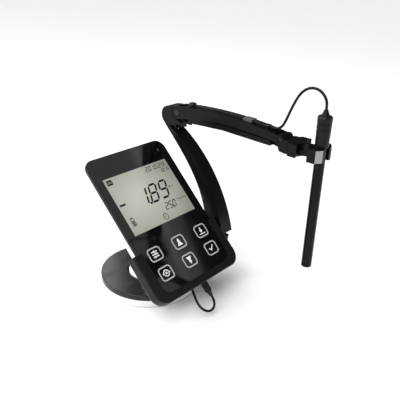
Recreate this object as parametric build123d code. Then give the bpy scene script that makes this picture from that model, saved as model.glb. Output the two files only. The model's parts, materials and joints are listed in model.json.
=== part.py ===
from build123d import *
import math
import os

# A bench pH meter: a tablet-shaped meter leaning in a cradle on a round swivel stand,
# with a double-parallelogram arm on its right that holds an upright electrode.
# Millimetres. Origin at the centre of the foot, +Z up, the display faces -Y.

# stand
disc_radius = 63.3
pad_radius = 57.0
pad_top = 1.8
shell_bottom = 0.8
shell_top = 10.3
plate_top = 17.1
hub_radius = 27.3
hub_gap = 2.0
hub_bottom = 10.45
hub_top = 18.8
pivot_radius = 6.0
base_screw_circle = 48.0

# meter, in its own leaning plane: u to the right, v up the face, w out of the glass
lean_centre = (0, -2.63, 123.24)
lean_normal = (0, -0.6928, 0.7211)
meter_half = 64.0
meter_top = 66.5
meter_bottom = -116.0
meter_corner = 13.0
panel_thick = 3.0
meter_thick = 12.0
meter_wall = 2.2
lcd_width = 102.7
lcd_height = 76.5

# cradle
cradle_half = 70.7
cradle_bottom = -124.0
cradle_shoulder = -59.5
cradle_back = -14.4
pocket_gap = 0.4
lip_top = 2.4
lip_half = 57.3
lip_bottom = -114.4
dock_half = 32.0
dock_bottom = -121.8
dock_top = -50.0
dock_back = -26.0
neck_height = -71.7

# arm, in planes parallel to the side view: y backwards, z up
arm_x = 84.0
arm_half = 10.0
flange = 3.0
tongue_half = 6.7
plate_thick = 2.8
bar_x = (84.2, 87.2)
lane_x = 82.1
turret_axis = (84.0, -44.0)
pin_d = (-45.5, 71.0)
pin_c = (40.0, 200.0)
pin_a = (26.0, 206.5)
pin_b = (-132.5, 209.0)
lower_offset = (7.0, -5.0)
upper_offset = (-0.7, -11.0)
pin_d2 = (pin_d[0] + lower_offset[0], pin_d[1] + lower_offset[1])
pin_c2 = (pin_c[0] + lower_offset[0], pin_c[1] + lower_offset[1])
pin_a2 = (pin_a[0] + upper_offset[0], pin_a[1] + upper_offset[1])
pin_b2 = (pin_b[0] + upper_offset[0], pin_b[1] + upper_offset[1])
pivot_pin = 2.2
bar_pin = 1.25
running_gap = 0.05

# clamp and electrode
head_low = 195.5
head_high = 210.5
cap_bottom = head_high + 0.1
electrode_y = -179.3
electrode_radius = 6.0
electrode_tip = 62.1
cap_top = 244.6
notch_y = -165.0
notch_offset = 10.4
notch_radius = 8.8

# leads
lead_radius = 1.5
plug_u = 6.0
plug_w = -7.0
plug_radius = 4.3
grommet_u = -5.8
grommet_w = -18.0

lean = Plane(origin=lean_centre, x_dir=(1, 0, 0), z_dir=lean_normal)
web_inside = ThreePointArc((-56.2, 55.0), (-29.3, 122.4), (30.4, 180.2))
link_back = Spline((49.0, 190.9), (22.5, 164.1), (-7.0, 128.4), (-27.0, 84.0))


# ---------------------------------------------------------------- helpers
def drum(radius, low, high, x=0, y=0):
    return Pos(x, y, low) * Cylinder(radius, high - low, align=(Align.CENTER, Align.CENTER, Align.MIN))


def ring(outer, inner, low, high, x=0, y=0):
    return drum(outer, low, high, x, y) - drum(inner, low - 1, high + 1, x, y)


def crosspin(centre, radius, x0, x1):
    return Pos(x0, centre[0], centre[1]) * Rot(0, 90, 0) * Cylinder(
        radius, x1 - x0, align=(Align.CENTER, Align.CENTER, Align.MIN)
    )


def block(x0, x1, y0, y1, z0, z1):
    return Pos((x0 + x1) / 2, (y0 + y1) / 2, (z0 + z1) / 2) * Box(x1 - x0, y1 - y0, z1 - z0)


def slab(face, x0, x1):
    # a side-view face (y, z) given thickness from x0 to x1
    standing = Plane(origin=(x0, 0, 0), x_dir=(0, 1, 0), z_dir=(1, 0, 0))
    return standing.location * extrude(face, x1 - x0, dir=(0, 0, 1))


def polygon(*points):
    return make_face(Polyline(*points, close=True))


def eye(centre, radius):
    return Pos(centre[0], centre[1]) * Circle(radius)


def hull(*circles):
    return make_hull([e for c in circles for e in eye(c[0], c[1]).edges()])


def sheet_uv(width, low, high, corner, w0, w1):
    # a rounded rectangle in the meter's plane, from depth w0 to w1
    face = Pos(0, (low + high) / 2, w0) * RectangleRounded(2 * width, high - low, corner)
    return extrude(face, w1 - w0, dir=(0, 0, 1))


def box_uv(u0, u1, v0, v1, w0, w1):
    return block(u0, u1, v0, v1, w0, w1)


def rod_v(u, w, radius, v0, v1):
    # a round bar along the meter's v direction
    return Pos(u, v0, w) * Rot(-90, 0, 0) * Cylinder(
        radius, v1 - v0, align=(Align.CENTER, Align.CENTER, Align.MIN)
    )


def tilted(shape):
    return lean.location * shape


def world(u, v, w):
    p = lean.from_local_coords(Vector(u, v, w))
    return (p.X, p.Y, p.Z)


def corner_radii(points, share=0.45, most=None):
    # each bend is as wide as the shorter of its two runs allows
    radii = []
    for a, b, c in zip(points, points[1:], points[2:]):
        first = Vector(*b) - Vector(*a)
        second = Vector(*c) - Vector(*b)
        half_turn = math.radians(first.get_angle(second)) / 2
        radius = share * min(first.length, second.length) / math.tan(half_turn)
        radii.append(radius if most is None else min(radius, most))
    return radii


def lead(name, points, radius=lead_radius, most=None):
    radii = corner_radii(points, most=most)
    path = FilletPolyline(*points, radius=radii) if radii else Line(*points)
    start = Plane(origin=points[0], z_dir=path % 0)
    solid = sweep(start * Circle(radius), path=path)
    share = solid.volume / (math.pi * radius**2 * path.length)
    print(name, "length", round(path.length, 1), "volume share", round(share, 4),
          "radii", [round(r, 1) for r in radii])
    return solid


def save(shape, node):
    export_step(shape, "parts/" + node + ".step")


# ---------------------------------------------------------------- stand
def foot_pad():
    return drum(pad_radius, 0, pad_top)


def base_screw_places():
    return [Rot(0, 0, 120 * i) * Pos(base_screw_circle, 0, 0) for i in range(3)]


def base_shell():
    body = drum(disc_radius, shell_bottom, shell_top)
    body = fillet(body.edges().group_by(Axis.Z)[0], 1.5)
    body -= drum(pad_radius + 0.2, shell_bottom - 1, pad_top)
    body -= drum(60.0, 4.0, shell_top + 1)
    for place in base_screw_places():
        body -= place * drum(1.7, 0, 5)
        body -= place * drum(3.5, 0, 3.2)
    return body


def ballast_plate():
    body = drum(59.6, 4.0, 9.8)
    body -= drum(9.6, 3, 7.0)
    body -= drum(pivot_radius + running_gap, 6, 10)
    for place in base_screw_places():
        body -= place * drum(2.0, 3, 11)
    return body


def base_top_plate():
    body = drum(disc_radius, shell_top, plate_top)
    body = fillet(body.edges().group_by(Axis.Z)[-1], 1.2)
    body -= ring(60.8, hub_radius + hub_gap + 2.5, shell_top - 1, 13.6)
    body -= drum(hub_radius + hub_gap, shell_top - 1, plate_top + 1)
    for place in base_screw_places():
        body += place * drum(4.5, 10.0, 14)
        body -= place * drum(1.6, 9, 13)
    return body


def base_screws():
    screws = []
    for place in base_screw_places():
        screws.append(place * (drum(1.55, 2.0, 12.5) + drum(3.2, 1.9, 3.1)))
    return Compound(screws)


def friction_washer():
    return ring(9.3, pivot_radius + 0.4, 6.6, 6.95)


def thrust_washer():
    return ring(24.0, 8.0, 9.8, 10.4)


def swivel_bolt():
    return drum(9.0, 4.4, 6.55) + drum(pivot_radius, 6.5, 16.0)


def hub_screw_places():
    return [Pos(12, -4, 0), Pos(-12, -4, 0)]


def hub():
    body = drum(hub_radius, hub_bottom, hub_top)
    body = fillet(body.edges().group_by(Axis.Z)[-1], 1.8)
    body -= drum(pivot_radius, hub_bottom - 1, 16.0)
    for place in hub_screw_places():
        body -= place * drum(3.7, hub_bottom - 1, 13.2)
        body -= place * drum(1.8, 12, 20)
    return body


def hub_screws():
    return Compound([p * (drum(3.4, 11.2, 13.2) + drum(1.75, 13.0, 28.0)) for p in hub_screw_places()])


# ---------------------------------------------------------------- cradle
def neck_screw_places():
    return [Pos(11, neck_height, 0), Pos(-11, neck_height, 0)]


def neck():
    face = Pos(0, neck_height, -90) * RectangleRounded(40, 28, 12)
    body = extrude(face, 90 + dock_back, dir=(0, 0, 1))
    for place in neck_screw_places():
        body -= place * drum(1.8, -38, -20)
    body = tilted(body) - block(-60, 60, -90, 90, -60, hub_top)
    for place in hub_screw_places():
        body -= place * drum(1.75, 10, 28.5)
    return body


def neck_screws():
    one = drum(3.4, -24, -22) + drum(1.75, -37.5, -23.5)
    return tilted(Compound([place * one for place in neck_screw_places()]))


def cradle_tray():
    body = sheet_uv(cradle_half, cradle_bottom, -30, 16, cradle_back, lip_top)
    body = fillet(body.edges().group_by(Axis.Z)[-1], 2.0)
    body = fillet(body.edges().group_by(Axis.Z)[0], 5.5)
    body -= box_uv(-80, 80, cradle_shoulder, -20, -12.4, 5)
    body -= box_uv(-80, -50, cradle_shoulder, -20, -20, 5)
    body -= box_uv(50, 80, cradle_shoulder, -20, -20, 5)
    pocket_half = meter_half + pocket_gap
    body -= sheet_uv(pocket_half, meter_bottom - 0.9, 0, meter_corner, -12.4, pocket_gap)
    body -= sheet_uv(lip_half, lip_bottom, 0, 10.5, -1, 5)
    body -= box_uv(plug_u - 5.2, plug_u + 5.2, -126, -116, -12.3, -1.9)
    for place in dock_screw_places():
        body -= place * drum(1.8, -16, -12)
        body -= place * drum(3.4, -13.6, -12)
    return body


def tray_pads():
    pads = [box_uv(u - 14, u + 14, meter_bottom - 0.9, meter_bottom - 0.1, -10, -2) for u in (-33, 36)]
    return tilted(Compound(pads))


def dock_screw_places():
    return [Pos(u, v, 0) for u in (-25, 25) for v in (-104, -60)]


def dock_screws():
    one = drum(3.2, -13.6, -12.5) + drum(1.5, -22, -13.4)
    return tilted(Compound([place * one for place in dock_screw_places()]))


def dock_shell():
    body = sheet_uv(dock_half, dock_bottom, dock_top, 8, dock_back, cradle_back - 0.05)
    body = fillet(body.edges().group_by(Axis.Z)[0], 3.5)
    body -= sheet_uv(dock_half - 2, dock_bottom + 2, dock_top - 2, 6, dock_back + 2, 0)
    for place in dock_screw_places():
        body += place * drum(3.4, -24.5, cradle_back - 0.05)
        body -= place * drum(1.5, -22.2, -10)
    body -= rod_v(grommet_u, grommet_w, 2.4, -125, -118)
    body -= Pos(20, -113.6, grommet_w - 1) * Rot(0, 90, 0) * Cylinder(2.2, 40)
    for place in neck_screw_places():
        body -= place * drum(1.8, -30, -20)
    for place in bracket_screw_places():
        body -= place * drum(1.6, -30, -20)
    return tilted(body)


def lead_grommet():
    body = rod_v(grommet_u, grommet_w, 2.4, -123.2, -119.0)
    body += rod_v(grommet_u, grommet_w, 3.6, -123.2, dock_bottom)
    body -= rod_v(grommet_u, grommet_w, lead_radius + 0.05, -126, -116)
    return tilted(body)


def bracket_screw_places():
    return [Pos(u, -97, 0) for u in (12, 24)]


def arm_bracket():
    # a wedge on the back of the shell carries a level shelf out to the turret post
    wedge = slab(
        polygon((-63.9, 28.3), (-47.0, 44.5), (-44.2, 41.6), (-50.0, 35.0), (-38.5, 35.0), (-32.0, 28.3)),
        6, 62,
    )
    shelf = block(55, turret_axis[0], -56, -32, 28.3, 35.0)
    body = wedge + shelf + drum(12.0, 28.3, 35.0, *turret_axis)
    body -= drum(5.0, 20, 40, *turret_axis)
    for place in bracket_screw_places():
        body -= tilted(place * drum(1.6, -34, -20))
        body -= tilted(place * drum(3.3, -50, -30))
    return body


def bracket_screws():
    screws = [p * (drum(3.0, -32, -30) + drum(1.5, -30.5, -23.6)) for p in bracket_screw_places()]
    return tilted(Compound(screws))


def turret_post():
    body = drum(5.0, 28.3, 52.0, *turret_axis) + drum(7.0, 51.9, 52.7, *turret_axis)
    return body - drum(2.2, 20, 60, *turret_axis)


# ---------------------------------------------------------------- meter
def meter_outline(inset, w0, w1):
    return sheet_uv(meter_half - inset, meter_bottom + inset, meter_top - inset, meter_corner - inset, w0, w1)


def meter_screw_places():
    return [Pos(u, v, 0) for u in (-54, 54) for v in (-104, 54)]


def front_panel():
    body = meter_outline(0, -panel_thick, 0)
    body = fillet(body.edges().group_by(Axis.Z)[-1], 0.8)
    half_width, half_height = lcd_width / 2 + 0.15, lcd_height / 2 + 0.15
    body -= box_uv(-half_width, half_width, -half_height, half_height, -5, 1)
    body -= Pos(49.8, 52.5, -5) * Cylinder(2.1, 20)
    for place in meter_screw_places():
        body -= place * drum(1.2, -4, -1.2)
    return tilted(body)


def lcd_module():
    glass = box_uv(-lcd_width / 2, lcd_width / 2, -lcd_height / 2, lcd_height / 2, -3.2, -0.05)
    return tilted(glass + box_uv(-55, 55, -41.5, 41.5, -5.2, -3.2))


def sensor_window():
    return tilted(Pos(49.8, 52.5, -1.5) * Cylinder(2.0, 2.9))


def panel_gasket():
    body = meter_outline(1.0, -panel_thick - 0.6, -panel_thick) - meter_outline(2.2, -6, 0)
    return tilted(body)


def meter_shell():
    body = meter_outline(0, -meter_thick, -panel_thick - 0.6)
    body = fillet(body.edges().group_by(Axis.Z)[0], 3.0)
    body -= meter_outline(meter_wall, -meter_thick + 2.0, 0)
    body += meter_outline(0, -panel_thick - 0.6, -panel_thick) - meter_outline(0.95, -6, 0)
    for place in meter_screw_places():
        body += place * drum(3.5, -10.5, -panel_thick)
        body -= place * drum(1.4, -13, 0)
        body -= place * drum(2.8, -13, -10.4)
    body -= rod_v(plug_u, plug_w, 3.0, -118, -112)
    return tilted(body)


def meter_screws():
    one = drum(2.5, -11.9, -10.4) + drum(1.15, -10.6, -1.4)
    return tilted(Compound([place * one for place in meter_screw_places()]))


def touch_foil():
    return tilted(box_uv(-49, 49, -106, -57, -3.5, -3.05))


def main_board():
    body = box_uv(-48, 48, -106, -46, -7.6, -6.0)
    body -= box_uv(plug_u - 6, plug_u + 6, -107, -96, -9, -5)
    return tilted(body)


def board_chips():
    chips = [(-30, -60, 12, 12), (-6, -62, 9, 9), (22, -58, 14, 8), (-28, -84, 8, 5), (30, -84, 10, 10)]
    return tilted(Compound([box_uv(u, u + a, v, v + b, -6.0, -4.6) for u, v, a, b in chips]))


def probe_jack():
    body = box_uv(plug_u - 5.5, plug_u + 5.5, -113.6, -97, -9.8, -4.2)
    body -= rod_v(plug_u, plug_w, 1.8, -120, -104)
    return tilted(body)


def battery_pack():
    body = sheet_uv(40, -34, 30, 2, -9.8, -5.6)
    return tilted(body)


def beeper():
    return tilted(Pos(38, 50, -8.6) * Cylinder(6, 2.6))


# ---------------------------------------------------------------- plug and its lead
loop_points = [
    (plug_u, -142.7, plug_w), (6.6, -149.5, -8.0), (1.5, -156.5, -9.6), (-7.0, -156.8, -11.2),
    (-12.6, -149.5, -13.2), (-11.8, -139.5, -15.4), (-8.2, -130.5, -17.3), (grommet_u, -123.2, grommet_w),
]


def plug_body():
    body = rod_v(plug_u, plug_w, plug_radius, -136.2, -117.2)
    body = fillet(body.edges().group_by(Axis.Y)[0], 1.0)
    body -= rod_v(plug_u, plug_w, 1.75, -124, -110)
    return tilted(body)


def plug_pin():
    return tilted(rod_v(plug_u, plug_w, 1.75, -124, -106))


def plug_relief():
    cone = Pos(plug_u, -136.2, plug_w) * Rot(90, 0, 0) * Cone(
        3.0, 1.9, 6.2, align=(Align.CENTER, Align.CENTER, Align.MIN)
    )
    return tilted(cone)


def meter_lead():
    return lead("meter_lead", [world(*p) for p in loop_points])


# ---------------------------------------------------------------- held lead
def dock_lead():
    points = [
        world(grommet_u, -121.8, grommet_w),
        world(grommet_u, -113.6, grommet_w),
        world(14, -113.6, grommet_w - 1),
        world(38, -113.6, grommet_w - 1),
        (62, -62, 22.5),
        (84, -44, 21.5),
        (84, -44, 59.5),
    ]
    return lead("dock_lead", points, most=6.0)


def turret_lead():
    return lead("turret_lead", [(84, -44, 60.2), (lane_x, -45.3, 69.6)])


def lower_arm_lead():
    # the lead lies just behind the front web, from one pivot to the other
    points = [(lane_x, pin_d[0], pin_d[1] + 0.4)]
    for share in (0.27, 0.45, 0.63, 0.81, 0.98):
        spot = web_inside @ share
        along = web_inside % share
        points.append((lane_x, spot.X + 3.2 * along.Y, spot.Y - 3.2 * along.X))
    points += [(lane_x, 36.6, 189.5), (lane_x, pin_c[0] - 0.2, pin_c[1] - 0.9)]
    return lead("lower_arm_lead", points)


def elbow_lead():
    points = [
        (lane_x, pin_c[0], pin_c[1]), (lane_x, 41.0, 206.2), (lane_x, 36.0, 208.6), (lane_x, 27.4, 206.8),
    ]
    return lead("elbow_lead", points)


def arm_top(y):
    # height of the upper arm's crown above the floor at y
    return 219.5 - 0.00075 * (y + 45) ** 2


def upper_arm_lead():
    points = [(lane_x, pin_a[0], pin_a[1]), (83.2, 16, 213.2), (84, 6, arm_top(6) + 0.4)]
    points += [(84, y, arm_top(y) + 0.4) for y in (-20, -45, -70, -95, -111.5)]
    return lead("upper_arm_lead", points)


arc_points = [
    (-112.0, arm_top(-112) + 0.4), (-120.5, 216.8), (-127.5, 220.5), (-132.0, 229.0), (-136.0, 240.0),
    (-141.0, 252.0), (-147.0, 263.2), (-157.0, 270.8), (-168.5, 270.6), (-176.5, 264.4),
    (-179.3, 257.8), (-179.3, 251.2),
]


def electrode_lead():
    return lead("electrode_lead", [(84, y, z) for y, z in arc_points])


# ---------------------------------------------------------------- arm
def pair(make):
    # the same solid on both sides of the arm's middle plane
    left = make()
    return [left, mirror(left, about=Plane(origin=(arm_x, 0, 0), x_dir=(0, 1, 0), z_dir=(1, 0, 0)))]


def both_sides(face, outer, inner):
    # a plate on each side, between two distances from the arm's middle plane
    return slab(face, arm_x - outer, arm_x - inner) + slab(face, arm_x + inner, arm_x + outer)


def turret_yoke():
    body = slab(polygon((-54.8, 35.4), (-57.3, 53.0), (-32.0, 53.0), (-33.0, 35.4)), 75.5, 92.5)
    body = fillet(body.edges().filter_by(lambda e: abs((e % 0.5).Z) > 0.9), 3.5)
    body -= drum(5.0 + running_gap, 30, 60, *turret_axis)
    body -= drum(7.3, 51.8, 60, *turret_axis)
    cheek = hull((pin_d, 6.5), (pin_d2, 4.6)) + polygon((-43.2, 53.0), (-32.4, 53.0), (-33.8, 66), (-50, 68))
    body += both_sides(cheek, tongue_half, tongue_half - plate_thick)
    body -= crosspin(pin_d, pivot_pin, 70, 98)
    body -= crosspin(pin_d2, bar_pin, 70, 98)
    return body


def pivot_screws(centre):
    # socket-head shoulder screws, one from each side
    def one():
        head = crosspin(centre, 3.5, 74.2, 75.3)
        socket = Pos(74.2, centre[0], centre[1]) * Rot(0, 90, 0) * extrude(RegularPolygon(1.7, 6), 0.8)
        return head + crosspin(centre, pivot_pin, 75.2, 80.1) - socket
    return Compound(pair(one))


def lower_link_face():
    front = ThreePointArc((-58.8, 60.5), (-31.5, 123.5), (28.7, 181.4))
    return make_face(
        [front, Line((28.7, 181.4), (33.0, 183.6)), Line((33.0, 183.6), (37.5, 186.7)),
         Line((37.5, 186.7), (49.0, 190.9)), link_back,
         Line((-27.0, 84.0), (-33.0, 60.5)), Line((-33.0, 60.5), (-58.8, 60.5))]
    )


def lower_web_face():
    outer = lower_link_face()
    inner = make_face(
        [web_inside, Line((30.4, 180.2), (30.4, 198.0)), Line((30.4, 198.0), (60, 198)),
         Line((60, 198), (60, 55)), Line((60, 55), (-56.2, 55))]
    )
    return outer - inner


def lower_arm_channel():
    side = lower_link_face() - eye(pin_c, 13.0)
    body = both_sides(side, arm_half, arm_half - flange)
    body += slab(lower_web_face(), arm_x - arm_half + 1, arm_x + arm_half - 1)
    # a narrow fork reaches up between the elbow's cheeks
    neck_face = hull((pin_c, 5.2), ((36.6, 194.5), 4.3)) + polygon(
        (32.6, 195.5), (39.9, 191.8), (38.0, 184.5), (33.0, 177.0), (24.0, 172.5), (26.5, 180.5)
    )
    body += both_sides(neck_face, arm_half - flange - 0.1, arm_half - flange - 0.1 - plate_thick)
    root = (neck_face & lower_link_face()) - eye(pin_c, 13.0)
    body += both_sides(root, arm_half - 1, arm_half - flange - 1)
    body -= crosspin(pin_c, 2.0 + running_gap, 70, 98)
    body -= crosspin(pin_d, pivot_pin + running_gap, 70, 98)
    body -= crosspin(pin_d, 3.8, 70, 75.4)
    body -= crosspin(pin_d, 3.8, 92.6, 98)
    return body


def lower_bar():
    # a slim bar that follows the back edge of the channel from pivot to pivot
    spine = [pin_c2]
    for share in (0.1, 0.25, 0.4, 0.55, 0.7, 0.85, 1.0):
        spot = link_back @ share
        along = link_back % share
        spine.append((spot.X + along.Y, spot.Y - along.X))
    spine.append(pin_d2)
    face = eye(pin_c2, 3.3) + eye(pin_d2, 3.3)
    for near, far in zip(spine, spine[1:]):
        face += hull((near, 1.7), (far, 1.7))
    body = slab(face, *bar_x)
    for pin in (pin_d2, pin_c2):
        body -= crosspin(pin, bar_pin + running_gap, 70, 98)
    return body


def elbow_cheek_face():
    foot = polygon((38.0, 187.6), (31.3, 188.4), (18.5, 193.6), (18.5, 195.2), (27.0, 197.4), (38.0, 200.0))
    return hull((pin_c, 12.6), (pin_a, 8.0)) + foot


def elbow_knuckle():
    cheek = elbow_cheek_face()
    outer = cheek - eye(pin_a, 9.2)
    body = both_sides(outer, arm_half, arm_half - 2.8)
    tongue = eye(pin_a, 7.9) + hull((pin_a2, 4.4), (pin_a, 5.0)) + polygon(
        (13, 189.6), (13, 196.5), (20, 199), (30, 197), (30.5, 191.0), (28, 189.6)
    )
    link = polygon(
        (27, 214.8), (43, 211.4), (44, 207.2), (36.5, 207.2), (33.7, 204), (31.8, 197.5), (29.4, 190),
        (24, 192.4), (24, 200), (26, 206),
    ) & cheek
    body += both_sides(tongue + link, tongue_half, tongue_half - plate_thick)
    step = link - eye(pin_a, 9.2)
    body += both_sides(step, arm_half - 1, tongue_half - 1)
    skin = cheek - offset(hull((pin_c, 12.6), (pin_a, 8.0)), -2.2) - eye(pin_a, 9.0)
    skin = skin & polygon((25, 201), (60, 201), (60, 220), (25, 220))
    body += slab(skin, arm_x - arm_half + 1, arm_x + arm_half - 1)
    body -= crosspin(pin_c, 2.0, 74.6, 93.4)
    body -= crosspin(pin_a, pivot_pin, 70, 98)
    body -= crosspin(pin_a2, bar_pin, 77.0, 91.0)
    body -= crosspin(pin_c2, bar_pin, 74.6, 93.4)
    return body


def elbow_pins():
    return Compound(pair(lambda: crosspin(pin_c, 2.0, 74.6, 79.9)))


def elbow_bar_pins():
    return Compound([crosspin(pin_a2, bar_pin, 77.4, 90.6), crosspin(pin_c2, bar_pin, 74.6, 93.4)])


def upper_side_face():
    crown = ThreePointArc((28.0, 214.55), (-45.0, 219.5), (-130.0, 213.4))
    lower = polygon(
        (-130.0, 213.4), (-130.5, 204.4), (-95.4, 208.2), (-49.0, 209.0), (2.0, 202.9), (23.8, 198.5),
        (28.0, 214.55),
    )
    cap = make_face([crown, Line((-130.0, 213.4), (28.0, 214.55))])
    return cap + lower + eye(pin_a, 8.3) + eye(pin_b, 5.0)


def upper_web_face():
    crown = ThreePointArc((14.0, 216.9), (-45.0, 219.5), (-123.5, 214.2))
    under = ThreePointArc((-123.5, 211.4), (-45.0, 216.3), (14.0, 213.6))
    front = Line((-123.5, 214.2), (-123.5, 211.4))
    back = Line((14.0, 213.6), (14.0, 216.9))
    return make_face([crown, front, under, back])


def upper_arm_beam():
    body = both_sides(upper_side_face(), arm_half, arm_half - flange)
    body += slab(upper_web_face(), arm_x - arm_half + 1, arm_x + arm_half - 1)
    # a shallow groove in the crown holds the lead, and its end slot lets it through
    groove_face = make_face(
        [ThreePointArc((16.0, 215.7), (-45.0, 218.4), (-126.0, 213.0)), Line((-126.0, 213.0), (-126.0, 225)),
         Line((-126.0, 225), (16.0, 225)), Line((16.0, 225), (16.0, 215.7))]
    )
    body -= slab(groove_face, arm_x - 1.6, arm_x + 1.6)
    body -= block(80.4, 86.0, 3.0, 16.0, 205, 225)
    body -= crosspin(pin_a, pivot_pin + running_gap, 70, 98)
    body -= crosspin(pin_a, 3.8, 70, 75.4)
    body -= crosspin(pin_a, 3.8, 92.6, 98)
    body -= crosspin(pin_b, 1.6 + running_gap, 70, 98)
    return body


def upper_bar():
    body = slab(
        polygon((9.0, 195.9), (9.0, 202.0), (-47.0, 205.4), (-118.0, 203.4), (-118.0, 197.6), (-47.0, 199.2)),
        arm_x - tongue_half + 0.2, arm_x + tongue_half - 0.2,
    )
    rear = hull((pin_a2, 3.3), ((8.0, 199.0), 3.0))
    front = hull((pin_b2, 3.3), ((-117.0, 200.5), 2.8))
    body += slab(rear, *bar_x) + slab(front, *bar_x)
    body -= slab(polygon((2, 190), (2, 201.5), (-110, 201.5), (-110, 190)), 79.6, 83.0)
    for pin in (pin_a2, pin_b2):
        body -= crosspin(pin, bar_pin + running_gap, 70, 98)
    return body


def lead_clip():
    low = arm_top(-83)
    body = block(78.4, 89.6, -89, -77, low - 0.4, low + 3.0)
    body = fillet(body.edges().filter_by(Axis.Y).group_by(Axis.Z)[-1], 1.0)
    channel = block(82.4, 85.6, -92, -74, low - 2, low + 2.0)
    return body - channel - slab(upper_web_face(), 70, 98)


def lead_button():
    low = arm_top(6.5)
    body = drum(5.0, low + 0.3, low + 3.9, 84, 7)
    body = fillet(body.edges().group_by(Axis.Z)[-1], 1.4)
    body -= block(82.2, 85.8, 0, 14, low - 3, low + 2.6)
    body -= slab(upper_web_face(), 70, 98)
    return body


def lead_end_clip():
    low = arm_top(-109)
    body = block(80.4, 87.6, -112, -106, low - 0.6, low + 3.2)
    body = fillet(body.edges().filter_by(Axis.Y).group_by(Axis.Z)[-1], 1.0)
    return body - block(82.4, 85.6, -120, -100, low - 2, low + 2.2) - slab(upper_web_face(), 70, 98)


# ---------------------------------------------------------------- clamp and electrode
def head_outline():
    half = [
        (0, -138.2), (11.6, -138.2), (11.6, -144.0), (15.6, -147.0), (15.6, -158.2), (16.6, -172.6),
        (16.6, -181.6), (8.6, -186.8), (0, -186.8),
    ]
    right = [(arm_x + x, y) for x, y in half]
    left = [(arm_x - x, y) for x, y in reversed(half[1:-1])]
    return make_face(Polyline(*right, *left, close=True))


def head_clamp():
    body = Pos(0, 0, head_low) * extrude(head_outline(), head_high - head_low, dir=(0, 0, 1))
    for side in (-1, 1):
        body -= drum(notch_radius, 190, 220, arm_x + side * notch_offset, notch_y)
        body -= block(arm_x + side * 20 - 6, arm_x + side * 20 + 6, notch_y - 6.8, notch_y + 6.8, 190, 220)
    body -= drum(electrode_radius + 0.05, 190, 220, arm_x, electrode_y)
    body -= block(arm_x - 4.9, arm_x + 4.9, -195, electrode_y - 3, 190, 220)
    tongue = hull((pin_b, 4.6), (pin_b2, 4.2)) + polygon(
        (-132.5, 213.6), (-139.0, 210.5), (-139.0, 195.5), (-133.5, 193.8)
    )
    body += slab(tongue, arm_x - tongue_half, arm_x + tongue_half)
    body -= block(83.9, 87.5, -138.0, -120, 190, 204.8)
    body -= crosspin(pin_b, 1.6, 74, 80.2)
    body -= crosspin(pin_b, 1.6, 87.8, 94)
    body -= crosspin(pin_b2, bar_pin, 77.6, 90.4)
    return body


def head_pins():
    return Compound(pair(lambda: crosspin(pin_b, 1.6, 74.4, 80.2)))


def head_bar_pin():
    return crosspin(pin_b2, bar_pin, 77.6, 90.4)


def turret_bar_pin():
    return crosspin(pin_d2, bar_pin, 77.4, 90.6)


def electrode_shaft():
    return drum(electrode_radius, 80.0, cap_bottom, arm_x, electrode_y)


def electrode_guard():
    body = drum(electrode_radius, electrode_tip, 80.0, arm_x, electrode_y)
    body = fillet(body.edges().group_by(Axis.Z)[0], 0.8)
    body -= drum(4.9, electrode_tip - 1, 76.0, arm_x, electrode_y)
    return body


def glass_bulb():
    stem = drum(2.2, 69.0, 76.0, arm_x, electrode_y)
    return stem + Pos(arm_x, electrode_y, 67.6) * Sphere(3.6)


def electrode_cap():
    profile = Polyline(
        (0, cap_bottom), (7.3, cap_bottom), (7.5, 212.5), (7.9, 229.9), (7.4, 230.3), (7.4, 231.1),
        (7.95, 231.5), (8.0, 236.1), (7.5, 236.5), (7.5, 237.3), (8.05, 237.7), (8.15, 243.0),
        (7.2, cap_top), (0, cap_top), close=True,
    )
    solid = revolve(Plane.XZ * make_face(profile), Axis.Z)
    return Pos(arm_x, electrode_y, 0) * solid


def cap_relief():
    cone = Cone(4.7, 2.3, 6.4, align=(Align.CENTER, Align.CENTER, Align.MIN))
    return Pos(arm_x, electrode_y, cap_top) * cone


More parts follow.
